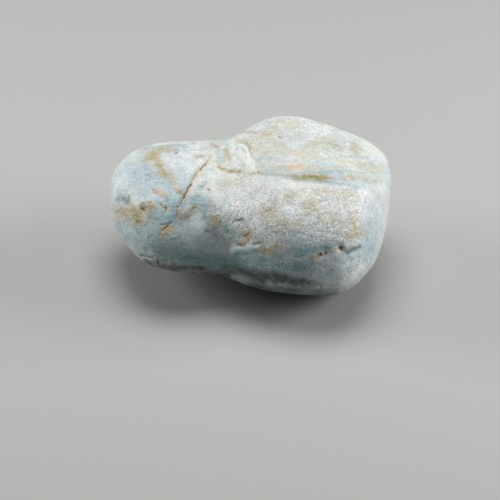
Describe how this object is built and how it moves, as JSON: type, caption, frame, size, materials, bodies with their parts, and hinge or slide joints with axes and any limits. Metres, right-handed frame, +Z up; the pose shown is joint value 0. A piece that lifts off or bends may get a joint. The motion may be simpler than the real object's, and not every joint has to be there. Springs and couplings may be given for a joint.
{
  "type": "rough jadeite cobble",
  "caption": "Water-worn rough jadeite stone with a broad humped body and a narrower lobe, resting on a worn flat.",
  "frame": {"origin": "middle of the footprint's bounding box, on the plane the stone rests on", "axes": "+X along the long axis, from the narrow lobe towards the broad end; +Y towards the back; +Z up, away from the rest plane"},
  "size_m": [0.1192, 0.09, 0.0652],
  "materials": {
    "jadeite": "satin, water-worn, pale grey-green with pale granular patches and ochre stains"
  },
  "bodies": {
    "root": {"cobble": "jadeite"}
  },
  "joints": []
}
